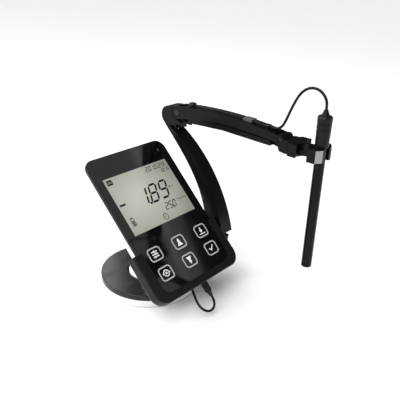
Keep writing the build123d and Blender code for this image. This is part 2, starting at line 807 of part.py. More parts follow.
def main():
    os.makedirs("parts", exist_ok=True)
    save(foot_pad(), "foot_pad")
    save(base_shell(), "base_shell")
    save(ballast_plate(), "ballast_plate")
    save(base_top_plate(), "base_top_plate")
    save(base_screws(), "base_screws")
    save(friction_washer(), "friction_washer")
    save(thrust_washer(), "thrust_washer")
    save(swivel_bolt(), "swivel_bolt")
    save(hub(), "swivel_hub")
    save(hub_screws(), "hub_screws")
    save(neck(), "stand_neck")
    save(neck_screws(), "neck_screws")
    save(tilted(cradle_tray()), "cradle_tray")
    save(tray_pads(), "tray_pads")
    save(dock_screws(), "dock_screws")
    save(dock_shell(), "dock_shell")
    save(lead_grommet(), "lead_grommet")
    save(arm_bracket(), "arm_bracket")
    save(bracket_screws(), "bracket_screws")
    save(turret_post(), "turret_post")
    save(dock_lead(), "dock_lead")
    save(front_panel(), "front_panel")
    save(lcd_module(), "lcd_module")
    save(sensor_window(), "sensor_window")
    save(panel_gasket(), "panel_gasket")
    save(meter_shell(), "meter_shell")
    save(meter_screws(), "meter_screws")
    save(touch_foil(), "touch_foil")
    save(main_board(), "main_board")
    save(board_chips(), "board_chips")
    save(probe_jack(), "probe_jack")
    save(battery_pack(), "battery_pack")
    save(beeper(), "beeper")
    save(plug_body(), "plug_body")
    save(plug_pin(), "plug_pin")
    save(plug_relief(), "plug_relief")
    save(meter_lead(), "meter_lead")
    save(turret_yoke(), "turret_yoke")
    save(pivot_screws(pin_d), "turret_pivot_screws")
    save(turret_bar_pin(), "turret_bar_pin")
    save(turret_lead(), "turret_lead")
    save(lower_arm_channel(), "lower_arm_channel")
    save(lower_arm_lead(), "lower_arm_lead")
    save(lower_bar(), "lower_bar")
    save(elbow_knuckle(), "elbow_knuckle")
    save(elbow_pins(), "elbow_pins")
    save(elbow_bar_pins(), "elbow_bar_pins")
    save(pivot_screws(pin_a), "elbow_pivot_screws")
    save(elbow_lead(), "elbow_lead")
    save(upper_arm_beam(), "upper_arm_beam")
    save(upper_arm_lead(), "upper_arm_lead")
    save(Compound([lead_clip()]), "lead_clip")
    save(Compound([lead_button(), lead_end_clip()]), "lead_keepers")
    save(upper_bar(), "upper_bar")
    save(head_clamp(), "head_clamp")
    save(Compound([head_pins(), head_bar_pin()]), "head_pins")
    save(electrode_shaft(), "electrode_shaft")
    save(Compound([electrode_guard(), glass_bulb()]), "electrode_tip")
    save(Compound([electrode_cap(), cap_relief()]), "electrode_cap")
    save(electrode_lead(), "electrode_lead")


main()
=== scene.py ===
import bpy
import json
import math
import numpy as np
from mathutils import Matrix, Vector


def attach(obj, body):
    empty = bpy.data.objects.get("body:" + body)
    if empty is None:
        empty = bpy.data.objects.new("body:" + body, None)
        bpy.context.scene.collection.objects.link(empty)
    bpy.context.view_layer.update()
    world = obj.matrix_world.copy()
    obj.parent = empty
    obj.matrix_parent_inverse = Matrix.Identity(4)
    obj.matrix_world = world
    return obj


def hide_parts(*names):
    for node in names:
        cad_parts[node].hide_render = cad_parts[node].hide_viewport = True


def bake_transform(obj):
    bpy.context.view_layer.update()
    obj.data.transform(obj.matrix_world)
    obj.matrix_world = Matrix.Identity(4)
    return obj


# Bench pH meter on a swivel stand with a jointed electrode arm: finishes, display, keys and leads.
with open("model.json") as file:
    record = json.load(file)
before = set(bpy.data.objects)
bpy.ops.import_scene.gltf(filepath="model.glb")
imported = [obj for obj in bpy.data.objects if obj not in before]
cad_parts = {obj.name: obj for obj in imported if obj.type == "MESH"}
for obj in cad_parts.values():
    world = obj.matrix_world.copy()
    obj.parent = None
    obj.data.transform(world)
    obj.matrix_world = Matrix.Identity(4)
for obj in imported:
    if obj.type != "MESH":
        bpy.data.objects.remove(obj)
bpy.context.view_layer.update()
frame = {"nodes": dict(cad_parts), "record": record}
mm = 0.001

# the meter's leaning face: u to the right, v up the face, w out of the glass, in millimetres
lean = {
    "centre": np.array([0.0, -2.63, 123.24]),
    "across": np.array([1.0, 0.0, 0.0]),
    "upward": np.array([0.0, 0.7211, 0.6928]),
    "outward": np.array([0.0, -0.6928, 0.7211]),
}


def onFace(u, v, w):
    # centre + u across + v upward + w outward, in metres, for numbers or whole arrays
    u, v, w = np.broadcast_arrays(np.asarray(u, float), np.asarray(v, float), np.asarray(w, float))
    spot = (lean["centre"] + u[..., None] * lean["across"] + v[..., None] * lean["upward"]
            + w[..., None] * lean["outward"])
    return spot * mm


# ---- camera
cameraSetup = {
    "place": (-0.4203, -0.4422, 0.4034),
    "yaw": 49.42,
    "pitch": 25.18,
    "roll": 0.0323,
    "lens": 48.99,
}


def makeCamera(setup):
    yaw, pitch = math.radians(setup["yaw"]), math.radians(setup["pitch"])
    level = Vector((math.sin(yaw), math.cos(yaw), 0))
    forward = level * math.cos(pitch) - Vector((0, 0, math.sin(pitch)))
    right = Vector((math.cos(yaw), -math.sin(yaw), 0))
    up = right.cross(forward)
    tiltedRight = (right + setup["roll"] * up).normalized()
    tiltedUp = tiltedRight.cross(forward)
    data = bpy.data.cameras.new("camera")
    data.lens = setup["lens"]
    data.sensor_width = 36
    data.clip_start, data.clip_end = 0.01, 20
    camera = bpy.data.objects.new("camera", data)
    turn = Matrix((tiltedRight, tiltedUp, -forward)).transposed()
    camera.matrix_world = Matrix.Translation(setup["place"]) @ turn.to_4x4()
    bpy.context.collection.objects.link(camera)
    bpy.context.scene.camera = camera


makeCamera(cameraSetup)
print("camera ready")


# ---- mesh helpers
def addPiece(name, points, faces, body, material, smooth=True):
    mesh = bpy.data.meshes.new(name)
    mesh.from_pydata(np.asarray(points, float).reshape(-1, 3).tolist(), [], faces)
    mesh.update()
    if smooth:
        mesh.polygons.foreach_set("use_smooth", np.ones(len(mesh.polygons), bool))
    piece = bpy.data.objects.new(name, mesh)
    bpy.context.collection.objects.link(piece)
    mesh.materials.append(material)
    if body:
        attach(piece, body)
    return piece


def gridFaces(rows, columns, wrap=True):
    # quads between neighbouring rows of a grid, closed round each row when wrap is set
    i, j = np.meshgrid(np.arange(rows - 1), np.arange(columns if wrap else columns - 1), indexing="ij")
    k = (j + 1) % columns
    quads = np.stack([i * columns + j, i * columns + k, (i + 1) * columns + k, (i + 1) * columns + j], -1)
    return quads.reshape(-1, 4)


def tubeAlong(path, radii, around=24):
    # circles of the given radii carried along the path; each frame is the last one turned by the least amount
    path = np.asarray(path, float)
    tangent = np.gradient(path, axis=0)
    tangent /= np.linalg.norm(tangent, axis=1)[:, None]
    normal = np.cross(tangent[0], [0.3, 0.9, 0.31])
    normals = [normal / np.linalg.norm(normal)]
    for step in tangent[1:]:
        turned = normals[-1] - step * np.dot(normals[-1], step)
        normals.append(turned / np.linalg.norm(turned))
    normals = np.array(normals)
    binormals = np.cross(tangent, normals)
    angle = np.linspace(0, 2 * np.pi, around, endpoint=False)
    radii = np.broadcast_to(np.asarray(radii, float), (len(path),))
    cosine, sine = np.cos(angle)[None, :, None], np.sin(angle)[None, :, None]
    ring = cosine * normals[:, None, :] + sine * binormals[:, None, :]
    points = path[:, None, :] + radii[:, None, None] * ring
    faces = gridFaces(len(path), around).tolist()
    faces.append(list(range(around))[::-1])
    faces.append(list(range((len(path) - 1) * around, len(path) * around)))
    return points.reshape(-1, 3), faces


def splineLine(name, points):
    # the smooth line that a NURBS spline of order three draws through these control points
    curve = bpy.data.curves.new(name + "Line", "CURVE")
    curve.dimensions = "3D"
    spline = curve.splines.new("NURBS")
    spline.points.add(len(points) - 1)
    for spot, point in zip(spline.points, points):
        spot.co = (*point, 1)
    spline.order_u = 3
    spline.use_endpoint_u = True
    spline.resolution_u = 12
    holder = bpy.data.objects.new(name + "Line", curve)
    bpy.context.collection.objects.link(holder)
    mesh = bpy.data.meshes.new_from_object(holder.evaluated_get(bpy.context.evaluated_depsgraph_get()))
    line = np.empty(len(mesh.vertices) * 3)
    mesh.vertices.foreach_get("co", line)
    bpy.data.objects.remove(holder)
    bpy.data.curves.remove(curve)
    bpy.data.meshes.remove(mesh)
    return line.reshape(-1, 3)


# ---- materials: shared effects
surfaceSetup = {
    "patchCentre": 0.5, "patchDetail": 4.0, "patchRoughness": 0.6,
    "speckDetail": 3.0, "speckRoughness": 0.7, "speckThreshold": 0.72,
    "smudgeStretch": (1.0, 2.6, 1.0), "smudgeTurn": 0.5, "smudgeDetail": 5.0, "smudgeRoughness": 0.65,
    "smudgeFrom": 0.48, "smudgeTo": 0.72,
    "brushStretch": (0.05, 1.0, 1.0), "brushRipple": 0.18, "brushShade": 0.72,
    "toneGain": 3.0, "toneStart": 0.25, "toneLift": 1.5, "toneAdd": 0.003,
    "plasticDust": 0.18, "polishedDust": 0.12, "polishedSpecks": 1600.0, "bumpDepth": 0.0002,
}


def newGroup(name, inputs, outputs):
    group = bpy.data.node_groups.new(name, "ShaderNodeTree")
    for label, value in inputs.items():
        socket = group.interface.new_socket(name=label, in_out="INPUT", socket_type="NodeSocketFloat")
        socket.default_value = value
    for label, kind in outputs.items():
        group.interface.new_socket(name=label, in_out="OUTPUT", socket_type=kind)
    return group, group.nodes.new("NodeGroupInput"), group.nodes.new("NodeGroupOutput")


def mathNode(tree, kind, first, second, third=None):
    node = tree.nodes.new("ShaderNodeMath")
    node.operation = kind
    for place, value in enumerate((first, second, third)):
        if value is None:
            continue
        if isinstance(value, (int, float)):
            node.inputs[place].default_value = value
        else:
            tree.links.new(value, node.inputs[place])
    return node.outputs[0]


def noiseNode(tree, coordinate, scale, detail=2.0, rough=0.5):
    node = tree.nodes.new("ShaderNodeTexNoise")
    node.inputs["Detail"].default_value = detail
    node.inputs["Roughness"].default_value = rough
    tree.links.new(coordinate, node.inputs["Vector"])
    if isinstance(scale, (int, float)):
        node.inputs["Scale"].default_value = scale
    else:
        tree.links.new(scale, node.inputs["Scale"])
    return node.outputs["Fac"]


def makeMouldedGroup():
    # fine moulded texture: pebbles for the bump, and slow patches that lift the roughness and tone
    group, given, out = newGroup(
        "mouldedSkin", {"Pebble Scale": 2500.0, "Patch Scale": 40.0, "Patch Amount": 0.08},
        {"Height": "NodeSocketFloat", "Patch": "NodeSocketFloat"})
    place = group.nodes.new("ShaderNodeTexCoord").outputs["Object"]
    pebble = noiseNode(group, place, given.outputs["Pebble Scale"], 1.0)
    patch = noiseNode(group, place, given.outputs["Patch Scale"],
                      surfaceSetup["patchDetail"], surfaceSetup["patchRoughness"])
    centred = mathNode(group, "SUBTRACT", patch, surfaceSetup["patchCentre"])
    group.links.new(pebble, out.inputs["Height"])
    group.links.new(mathNode(group, "MULTIPLY", centred, given.outputs["Patch Amount"]), out.inputs["Patch"])
    return group


def makeDustGroup():
    # sparse pale specks, more of them on faces that look up
    group, given, out = newGroup(
        "restingDust", {"Speck Scale": 900.0, "Cover": 0.3}, {"Mask": "NodeSocketFloat"})
    place = group.nodes.new("ShaderNodeTexCoord").outputs["Object"]
    speck = noiseNode(group, place, given.outputs["Speck Scale"],
                      surfaceSetup["speckDetail"], surfaceSetup["speckRoughness"])
    shape = group.nodes.new("ShaderNodeNewGeometry")
    split = group.nodes.new("ShaderNodeSeparateXYZ")
    group.links.new(shape.outputs["Normal"], split.inputs[0])
    facing = mathNode(group, "MAXIMUM", split.outputs["Z"], 0.0)
    threshold = mathNode(group, "GREATER_THAN", speck, surfaceSetup["speckThreshold"])
    lying = mathNode(group, "MULTIPLY", threshold, facing)
    group.links.new(mathNode(group, "MULTIPLY", lying, given.outputs["Cover"]), out.inputs["Mask"])
    return group


def makeSmudgeGroup():
    # wiped finger marks: stretched noise that changes the roughness of polished faces
    group, given, out = newGroup(
        "wipedSmudges", {"Mark Scale": 22.0, "Amount": 0.12}, {"Roughness": "NodeSocketFloat"})
    place = group.nodes.new("ShaderNodeTexCoord").outputs["Object"]
    mapping = group.nodes.new("ShaderNodeMapping")
    mapping.inputs["Scale"].default_value = surfaceSetup["smudgeStretch"]
    mapping.inputs["Rotation"].default_value = (0.0, 0.0, surfaceSetup["smudgeTurn"])
    group.links.new(place, mapping.inputs["Vector"])
    mark = noiseNode(group, mapping.outputs[0], given.outputs["Mark Scale"],
                     surfaceSetup["smudgeDetail"], surfaceSetup["smudgeRoughness"])
    ramp = group.nodes.new("ShaderNodeMapRange")
    ramp.inputs["From Min"].default_value = surfaceSetup["smudgeFrom"]
    ramp.inputs["From Max"].default_value = surfaceSetup["smudgeTo"]
    group.links.new(mark, ramp.inputs["Value"])
    lifted = mathNode(group, "MULTIPLY", ramp.outputs[0], given.outputs["Amount"])
    group.links.new(lifted, out.inputs["Roughness"])
    return group


def makeBrushGroup():
    # turning marks: noise squeezed along one axis
    group, given, out = newGroup("turnedMetal", {"Line Scale": 900.0}, {"Line": "NodeSocketFloat"})
    place = group.nodes.new("ShaderNodeTexCoord").outputs["Object"]
    mapping = group.nodes.new("ShaderNodeMapping")
    mapping.inputs["Scale"].default_value = surfaceSetup["brushStretch"]
    group.links.new(place, mapping.inputs["Vector"])
    group.links.new(noiseNode(group, mapping.outputs[0], given.outputs["Line Scale"]), out.inputs["Line"])
    return group


mouldedGroup, dustGroup = makeMouldedGroup(), makeDustGroup()
smudgeGroup, brushGroup = makeSmudgeGroup(), makeBrushGroup()


def useGroup(tree, group, **values):
    node = tree.nodes.new("ShaderNodeGroup")
    node.node_tree = group
    for label, value in values.items():
        node.inputs[label.replace("_", " ")].default_value = value
    return node


def newMaterial(name, colour, roughness, metallic=0.0, **sockets):
    material = bpy.data.materials.new(name)
    material.use_nodes = True
    tree = material.node_tree
    shader = tree.nodes["Principled BSDF"]
    shader.inputs["Base Color"].default_value = (*colour, 1)
    shader.inputs["Roughness"].default_value = roughness
    shader.inputs["Metallic"].default_value = metallic
    for label, value in sockets.items():
        shader.inputs[label.replace("_", " ")].default_value = value
    return material, tree, shader


def mixColour(tree, mask, low, high):
    node = tree.nodes.new("ShaderNodeMix")
    node.data_type = "RGBA"
    for socket, value in ((node.inputs["Factor"], mask), (node.inputs[6], low), (node.inputs[7], high)):
        if isinstance(value, bpy.types.NodeSocket):
            tree.links.new(value, socket)
        else:
            socket.default_value = (*value, 1) if isinstance(value, tuple) else value
    return node.outputs[2]


def mouldedPlastic(name, colour, roughness, pebble=2500.0, bump=0.05, patchAmount=0.1, dust=0.25, **sockets):
    material, tree, shader = newMaterial(name, colour, roughness, **sockets)
    skin = useGroup(tree, mouldedGroup, Pebble_Scale=pebble, Patch_Amount=patchAmount)
    resting = useGroup(tree, dustGroup, Cover=dust)
    lighter = tuple(min(1.0, c * surfaceSetup["toneLift"] + surfaceSetup["toneAdd"]) for c in colour)
    gained = mathNode(tree, "MULTIPLY", skin.outputs["Patch"], surfaceSetup["toneGain"])
    toned = mixColour(tree, mathNode(tree, "ADD", gained, surfaceSetup["toneStart"]), colour, lighter)
    pale = tuple(min(1.0, c + surfaceSetup["plasticDust"]) for c in colour)
    tree.links.new(mixColour(tree, resting.outputs["Mask"], toned, pale), shader.inputs["Base Color"])
    tree.links.new(mathNode(tree, "ADD", skin.outputs["Patch"], roughness), shader.inputs["Roughness"])
    lump = tree.nodes.new("ShaderNodeBump")
    lump.inputs["Strength"].default_value = bump
    lump.inputs["Distance"].default_value = surfaceSetup["bumpDepth"]
    tree.links.new(skin.outputs["Height"], lump.inputs["Height"])
    tree.links.new(lump.outputs["Normal"], shader.inputs["Normal"])
    return material


def polished(name, colour, roughness=0.06, amount=0.1, dust=0.15, **sockets):
    material, tree, shader = newMaterial(name, colour, roughness, **sockets)
    smudge = useGroup(tree, smudgeGroup, Amount=amount)
    resting = useGroup(tree, dustGroup, Speck_Scale=surfaceSetup["polishedSpecks"], Cover=dust)
    pale = tuple(min(1.0, c + surfaceSetup["polishedDust"]) for c in colour)
    tree.links.new(mixColour(tree, resting.outputs["Mask"], colour, pale), shader.inputs["Base Color"])
    tree.links.new(mathNode(tree, "ADD", smudge.outputs["Roughness"], roughness), shader.inputs["Roughness"])
    return material


def turned(name, colour, roughness):
    material, tree, shader = newMaterial(name, colour, roughness, metallic=1.0)
    lines = useGroup(tree, brushGroup)
    darker = tuple(c * surfaceSetup["brushShade"] for c in colour)
    tree.links.new(mixColour(tree, lines.outputs["Line"], darker, colour), shader.inputs["Base Color"])
    depth = surfaceSetup["brushRipple"]
    ripple = mathNode(tree, "MULTIPLY_ADD", lines.outputs["Line"], depth, roughness - depth / 3)
    tree.links.new(ripple, shader.inputs["Roughness"])
    return material


finish = {
    "white_plastic": mouldedPlastic("whiteCasing", (0.80, 0.81, 0.80), 0.42, dust=0.0),
    "black_gloss": polished("pianoBlack", (0.003, 0.003, 0.0034), 0.18, 0.12, 0.02, Specular_IOR_Level=0.42),
    "black_satin": mouldedPlastic("satinBlack", (0.004, 0.0036, 0.004), 0.32, bump=0.06,
                                  patchAmount=0.03, dust=0.01, Specular_IOR_Level=0.18),
    "arm_black": mouldedPlastic("armBlack", (0.0025, 0.0022, 0.0024), 0.24, bump=0.03,
                                patchAmount=0.02, dust=0.0, Specular_IOR_Level=0.14),
    "glass_black": polished("blackGlass", (0.003, 0.0025, 0.003), 0.07, 0.05, 0.05, Specular_IOR_Level=0.42),
    "indicator": polished("smokedLens", (0.05, 0.055, 0.065), 0.1, 0.05),
    "rubber_black": mouldedPlastic("blackRubber", (0.012, 0.012, 0.012), 0.6, bump=0.2, dust=0.1,
                                   Specular_IOR_Level=0.25),
    "rubber_grey": mouldedPlastic("footRubber", (0.06, 0.06, 0.06), 0.75, bump=0.3),
    "black_steel": mouldedPlastic("blackenedSteel", (0.004, 0.004, 0.004), 0.3, bump=0.04, dust=0.0),
    "steel": turned("turnedSteel", (0.45, 0.45, 0.47), 0.3),
    "brass": turned("platedBrass", (0.75, 0.58, 0.3), 0.25),
    "light_grey": mouldedPlastic("paleGrey", (0.27, 0.275, 0.27), 0.3, dust=0.0),
    "board_green": mouldedPlastic("boardLacquer", (0.02, 0.13, 0.06), 0.3),
    "cable_black": mouldedPlastic("leadSheath", (0.003, 0.003, 0.003), 0.42, bump=0.06, dust=0.0,
                                  Specular_IOR_Level=0.18),
    "nylon_white": mouldedPlastic("nylon", (0.75, 0.75, 0.72), 0.5),
}
print("finishes ready")


crystalSetup = {
    # the spherical fade from bright to edge is painted light and shade on the crystal; the emission strength
    # is a painted glow
    "middle": (-12, 2, 0), "reach": (0.07, 0.062, 0.07), "cloudScale": 26.0, "cloudAmount": 0.25,
    "edge": (0.24, 0.25, 0.205), "bright": (0.47, 0.485, 0.42), "paintedGlow": 0.1,
}


def makeDisplayFinish(setup):
    # grey-green liquid crystal, slowly clouded; brighter towards the middle left and darker at the edges,
    # which is a painted pool of light with painted shade at the rim, plus a faint painted glow from the
    # emission
    material, tree, shader = newMaterial("displayGlass", (0.42, 0.44, 0.38), 0.16, Specular_IOR_Level=0.35)
    place = tree.nodes.new("ShaderNodeTexCoord").outputs["Object"]
    mapping = tree.nodes.new("ShaderNodeMapping")
    mapping.vector_type = "TEXTURE"
    mapping.inputs["Location"].default_value = tuple(onFace(*setup["middle"]))
    mapping.inputs["Rotation"].default_value = (math.asin(lean["upward"][2]), 0, 0)
    mapping.inputs["Scale"].default_value = setup["reach"]
    tree.links.new(place, mapping.inputs["Vector"])
    fall = tree.nodes.new("ShaderNodeTexGradient")
    fall.gradient_type = "SPHERICAL"
    tree.links.new(mapping.outputs[0], fall.inputs["Vector"])
    cloud = mathNode(tree, "MULTIPLY", noiseNode(tree, place, setup["cloudScale"]), setup["cloudAmount"])
    mask = mathNode(tree, "ADD", fall.outputs["Fac"], cloud)
    colour = mixColour(tree, mask, setup["edge"], setup["bright"])
    tree.links.new(colour, shader.inputs["Base Color"])
    # the painted light colour also feeds the emission: a painted glow, the crystal is no lamp
    tree.links.new(colour, shader.inputs["Emission Color"])
    shader.inputs["Emission Strength"].default_value = setup["paintedGlow"]
    return material


finish["display"] = makeDisplayFinish(crystalSetup)
finish["bulb_glass"] = polished("bulbGlass", (0.7, 0.8, 0.82), 0.03, 0.02, Transmission_Weight=0.9)
inkMaterial = mouldedPlastic("crystalInk", (0.006, 0.006, 0.018), 0.6, dust=0.0,
                             Specular_IOR_Level=0.1)
printWhite = mouldedPlastic("printedWhite", (0.78, 0.76, 0.74), 0.5, dust=0.0)


hatchSetup = {"scale": 270.0, "turn": 0.6, "gap": (0.17, 0.15, 0.145), "bar": (0.72, 0.68, 0.66)}


def makeHatchFinish(setup):
    # the printed key outlines: pale bars with thin dark gaps, slanting across the face
    material, tree, shader = newMaterial("keyOutline", (0.5, 0.47, 0.45), 0.45)
    place = tree.nodes.new("ShaderNodeTexCoord").outputs["Object"]
    wave = tree.nodes.new("ShaderNodeTexWave")
    wave.wave_type = "BANDS"
    wave.bands_direction = "X"
    wave.inputs["Scale"].default_value = setup["scale"]
    wave.inputs["Distortion"].default_value = 0.0
    mapping = tree.nodes.new("ShaderNodeMapping")
    mapping.inputs["Rotation"].default_value = (0, 0, setup["turn"])
    tree.links.new(place, mapping.inputs["Vector"])
    tree.links.new(mapping.outputs[0], wave.inputs["Vector"])
    colour = mixColour(tree, wave.outputs["Fac"], setup["gap"], setup["bar"])
    tree.links.new(colour, shader.inputs["Base Color"])
    return material


hatchMaterial = makeHatchFinish(hatchSetup)


# ---- CAD pieces get their finish
def coatNode(node, material):
    data = frame["nodes"][node].data
    data.materials.clear()
    data.materials.append(material)


for entry in frame["record"]["subparts"]:
    coatNode(entry["node"], finish[entry["material_slot"]])
coatNode("electrode_shaft", finish["arm_black"])
coatNode("electrode_tip", finish["arm_black"])
print("CAD pieces coated")


# ---- pale pads on the slanted ends of the clamp's fingers
padSetup = {
    "near": (16.2, -181.85), "far": (9.0, -186.55), "low": 196.0, "high": 210.0,
    "gap": 0.02, "thick": 0.35, "middle": 84.0,
}


def fingerPads(setup):
    # a thin wall on each slanted face: two outlines joined, mirrored about the head's middle plane
    (x0, y0), (x1, y1) = setup["near"], setup["far"]
    away = np.array([y0 - y1, x1 - x0]) / math.hypot(y0 - y1, x1 - x0)
    points, faces = [], []
    for side in (1, -1):
        start = len(points)
        for lift in (setup["gap"], setup["thick"]):
            for x, y, z in ((x0, y0, "low"), (x1, y1, "low"), (x1, y1, "high"), (x0, y0, "high")):
                px = x + away[0] * lift
                py = y + away[1] * lift
                points.append(((setup["middle"] + side * px) * mm, py * mm, setup[z] * mm))
        for face in ((4, 5, 6, 7), (3, 2, 1, 0), (0, 1, 5, 4), (1, 2, 6, 5), (2, 3, 7, 6), (3, 0, 4, 7)):
            face = [start + i for i in face]
            faces.append(face if side == -1 else face[::-1])
    return addPiece("fingerPads", points, faces, "head", finish["light_grey"], smooth=False)


fingerPads(padSetup)
print("finger pads made")


# ---- leads
leadSetup = {"radius": 1.5 * mm, "around": 20}


def armTop(y):
    # crown of the upper arm, a shallow arch
    return 219.5 - 0.00075 * (y + 45) ** 2


electrodeRoute = np.array([
    (84, -112.0, armTop(-112) + 0.4), (84, -120.5, 216.8), (84, -127.5, 220.5), (84, -132.0, 229.0),
    (84, -136.0, 240.0), (84, -141.0, 252.0), (84, -147.0, 263.2), (84, -157.0, 270.8),
    (84, -168.5, 270.6), (84, -176.5, 264.4), (84, -179.3, 257.8), (84, -179.3, 251.2),
]) * mm
meterRoute = np.array([onFace(*p) for p in (
    (6.0, -142.7, -7.0), (6.6, -149.5, -8.0), (1.5, -156.5, -9.6), (-7.0, -156.8, -11.2),
    (-12.6, -149.5, -13.2), (-11.8, -139.5, -15.4), (-8.2, -130.5, -17.3), (-5.8, -123.2, -18.0),
)])


def makeLead(name, route, node, start, end):
    line = splineLine(name, route)
    points, faces = tubeAlong(line, leadSetup["radius"], leadSetup["around"])
    piece = addPiece(name, points, faces, None, finish["cable_black"])
    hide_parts(node)
    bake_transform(piece)


makeLead("electrodeLead", electrodeRoute, "electrode_lead",
         (0.084, -0.118, 0.217), (0.084, -0.1795, 0.2515))
makeLead("meterLead", meterRoute, "meter_lead",
         tuple(onFace(6, -143, -7)), tuple(onFace(6, -143, -14)))


# ---- display figures
figureBars = {
    # each bar: centre x, centre y, half length, upright or not, in a cell 1 wide and 2 high
    "top": (0.5, 2.0, 0.5, 0), "middle": (0.5, 1.0, 0.5, 0), "bottom": (0.5, 0.0, 0.5, 0),
    "upperLeft": (0.0, 1.5, 0.5, 1), "upperRight": (1.0, 1.5, 0.5, 1),
    "lowerLeft": (0.0, 0.5, 0.5, 1), "lowerRight": (1.0, 0.5, 0.5, 1),
}
litBars = {
    "0": "top bottom upperLeft upperRight lowerLeft lowerRight", "1": "upperRight lowerRight",
    "2": "top middle bottom upperRight lowerLeft", "5": "top middle bottom upperLeft lowerRight",
    "8": "top middle bottom upperLeft upperRight lowerLeft lowerRight",
    "9": "top middle bottom upperLeft upperRight lowerRight",
}
displaySetup = {
    "height": 0.04, "barGap": 0.18, "dotSize": 1.15, "dotShift": 1.4, "colonWidth": 2.2,
    "rows": [
        # text, left u, base v, cell width, cell height, bar thickness, spacing, slant
        ("1.89", -20.0, -9.4, 11.2, 21.8, 2.7, 17.2, 0.30),
        ("25.0", 10.0, -24.6, 4.4, 8.6, 1.25, 6.5, 0.27),
        ("20", 13.0, 29.6, 3.1, 5.8, 0.9, 5.0, 0.25), ("10", 23.4, 29.4, 3.1, 5.8, 0.9, 5.0, 0.25),
        ("2:9", 35.2, 29.2, 3.1, 5.8, 0.9, 4.6, 0.25), ("10:15", 33.6, 22.4, 2.5, 4.8, 0.8, 3.4, 0.25),
    ],
    "boxes": [
        # left, bottom, right, top of each plain mark
        (-48.8, 0.2, -39.9, 2.6),
        (3.1, -32.0, 3.7, -28.9), (1.2, -32.0, 3.7, -31.4),
        (32.0, 0.4, 35.4, 1.1), (32.0, 2.2, 35.4, 2.9), (36.6, 0.4, 39.8, 1.1),
        (-48.4, 29.0, -40.3, 31.1), (-48.4, 33.5, -40.3, 35.6), (-48.4, 31.1, -47.1, 33.5),
        (-46.3, 31.1, -45.7, 33.5), (-44.7, 31.1, -43.8, 33.5), (-42.9, 31.1, -42.3, 33.5),
        (-41.5, 31.1, -40.3, 33.5),
        (-46.2, -27.4, -45.6, -17.4), (-41.4, -27.4, -40.8, -17.4), (-46.2, -18.0, -40.8, -17.4),
        (-44.6, -17.4, -42.4, -16.2), (-46.2, -27.4, -40.8, -26.8),
    ],
    "repeats": [
        # how many, step across and up, first box: date strokes, small words' dashes, battery bars
        (2, (0, 2.4), (21.6, 29.4, 22.2, 30.8)), (2, (0, 2.4), (33.4, 28.8, 34.0, 30.2)),
        (4, (3.4, 0), (36.4, -18.6, 38.8, -17.9)), (4, (3.4, 0), (36.4, -17.9, 37.1, -16.6)),
        (3, (0, 2.1), (-45.2, -26.2, -41.8, -24.8)),
    ],
    # centre, outer and inner radius, corners: the clock's rim and the degree sign
    "rings": [(3.4, -31.7, 4.3, 3.5, 28), (34.6, -16.4, 0.95, 0.45, 14)],
}


def barOutline(thick, halfLength, gap):
    # a pointed bar: six corners of a stretched hexagon
    long = halfLength - gap
    half = thick / 2
    return np.array([(-long, 0), (-long + half, half), (long - half, half),
                     (long, 0), (long - half, -half), (-long + half, -half)])


def figurePolygons(text, left, base, width, height, thick, spacing, slant):
    found = []
    pen = left
    for mark in text:
        if mark in ".:":
            rises = (0.0,) if mark == "." else (height * 0.3, height * 0.7)
            for rise in rises:
                square = boxPolygon(-0.5, -0.5, 0.5, 0.5) * thick * displaySetup["dotSize"]
                across = pen - spacing + width + thick * displaySetup["dotShift"] + rise * slant
                found.append(square + (across, base + rise))
            if mark == ":":
                pen += thick * displaySetup["colonWidth"]
            continue
        for bar in litBars[mark].split():
            x, y, half, upright = figureBars[bar]
            span = half * (height / 2 if upright else width)
            outline = barOutline(thick, span, thick * displaySetup["barGap"])
            if upright:
                outline = outline[:, ::-1] * (-1, 1)
            spot = outline + (x * width, y * height / 2)
            spot = spot + np.stack([spot[:, 1] * slant, 0 * spot[:, 1]], -1)
            found.append(spot + (pen, base))
        pen += spacing
    return found


def ringPolygon(u, v, outer, inner, count):
    # quads between two circles
    angle = np.linspace(0, 2 * np.pi, count, endpoint=False)
    circle = np.stack([np.cos(angle), np.sin(angle)], -1)
    following = np.roll(circle, -1, axis=0)
    quads = np.stack([circle * inner, circle * outer, following * outer, following * inner], 1)
    return [quad + (u, v) for quad in quads]


def boxPolygon(u0, v0, u1, v1):
    return np.array([(u0, v0), (u1, v0), (u1, v1), (u0, v1)])


printGap = 0.005


def flatPrint(name, polygons, height, body, material):
    # flat outlines standing a hair above the glass, each given its own thin wall
    points, faces, count = [], [], 0
    for outline in polygons:
        size = len(outline)
        area = np.sum(outline[:, 0] * np.roll(outline[:, 1], -1) - np.roll(outline[:, 0], -1) * outline[:, 1])
        outline = outline if area > 0 else outline[::-1]
        lower = onFace(outline[:, 0], outline[:, 1], printGap)
        upper = onFace(outline[:, 0], outline[:, 1], height)
        points.append(np.concatenate([lower, upper]))
        faces.append([count + size + i for i in range(size)])
        faces.append([count + i for i in reversed(range(size))])
        faces.extend([[count + i, count + (i + 1) % size, count + size + (i + 1) % size, count + size + i]
                      for i in range(size)])
        count += 2 * size
    return addPiece(name, np.concatenate(points), faces, body, material, smooth=False)


def displayPolygons(setup):
    marks = []
    for row in setup["rows"]:
        marks += figurePolygons(*row)
    marks += [boxPolygon(*box) for box in setup["boxes"]]
    for count, step, (u0, v0, u1, v1) in setup["repeats"]:
        marks += [boxPolygon(u0 + i * step[0], v0 + i * step[1], u1 + i * step[0], v1 + i * step[1])
                  for i in range(count)]
    for ring in setup["rings"]:
        marks += ringPolygon(*ring)
    return marks


flatPrint("displayFigures", displayPolygons(displaySetup), displaySetup["height"], "meter",
          inkMaterial)
print("display drawn")


# ---- touch keys
keySetup = {
    "columns": (-40.0, 0.0, 40.0), "rows": (-67.0, -92.3), "width": 20.0, "height": 17.2,
    "corner": 4.6, "stroke": 1.75, "rise": 0.05,
    "symbols": ("lus", "gdt"),
}


